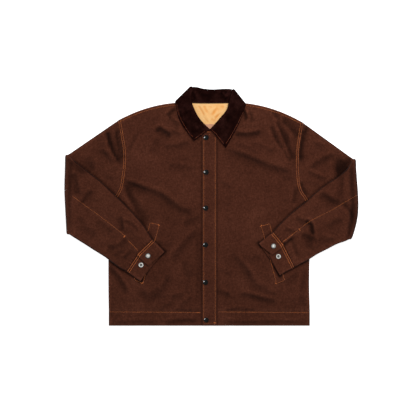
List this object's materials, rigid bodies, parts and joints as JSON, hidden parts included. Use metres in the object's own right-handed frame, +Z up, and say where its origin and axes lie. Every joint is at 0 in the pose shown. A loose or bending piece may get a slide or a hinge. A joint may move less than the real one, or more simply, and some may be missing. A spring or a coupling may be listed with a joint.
{
  "type": "harrington jacket",
  "caption": "Brown canvas snap-front jacket with a corduroy shirt collar, laid flat front up with both sleeves folded at the elbow over the fronts.",
  "frame": {"origin": "under the middle of the laid garment's bounding box, on the surface that it rests on", "axes": "+X towards the wearer's left, across both folded elbows; +Y from the hem to the collar; +Z up, out of the jacket's front"},
  "size_m": [0.8963, 0.7265, 0.0248],
  "materials": {
    "canvas": "brown cotton duck canvas, matt, lightly worn at the edges, with orange twin stitching",
    "corduroy": "very dark brown fine-wale corduroy with a soft nap",
    "satin": "peach-gold satin lining with a soft sheen",
    "label_cloth": "plain woven blank label, pinkish",
    "black_metal": "glossy black snap caps",
    "steel": "bright nickel-plated snap caps and sockets"
  },
  "bodies": {
    "root": {"back": "canvas", "front_right": "canvas", "front_left": "canvas", "hem_band_back": "canvas", "hem_band_right": "canvas", "hem_band_left": "canvas", "sleeve_right_front": "canvas", "sleeve_right_back": "canvas", "sleeve_left_front": "canvas", "sleeve_left_back": "canvas", "cuff_right": "canvas", "cuff_left": "canvas", "pocket_welt_right": "canvas", "pocket_welt_left": "canvas", "placket": "canvas", "collar_leaf": "corduroy", "collar_stand": "corduroy", "collar_front_end": "corduroy", "lining_neck": "satin", "label_blank": "label_cloth", "snap_1": "black_metal", "snap_2": "black_metal", "snap_3": "black_metal", "snap_4": "black_metal", "snap_5": "black_metal", "snap_6": "black_metal", "cuff_cap_right": "steel", "cuff_cap_left": "steel", "cuff_socket_right": "steel", "cuff_socket_left": "steel"}
  },
  "joints": []
}
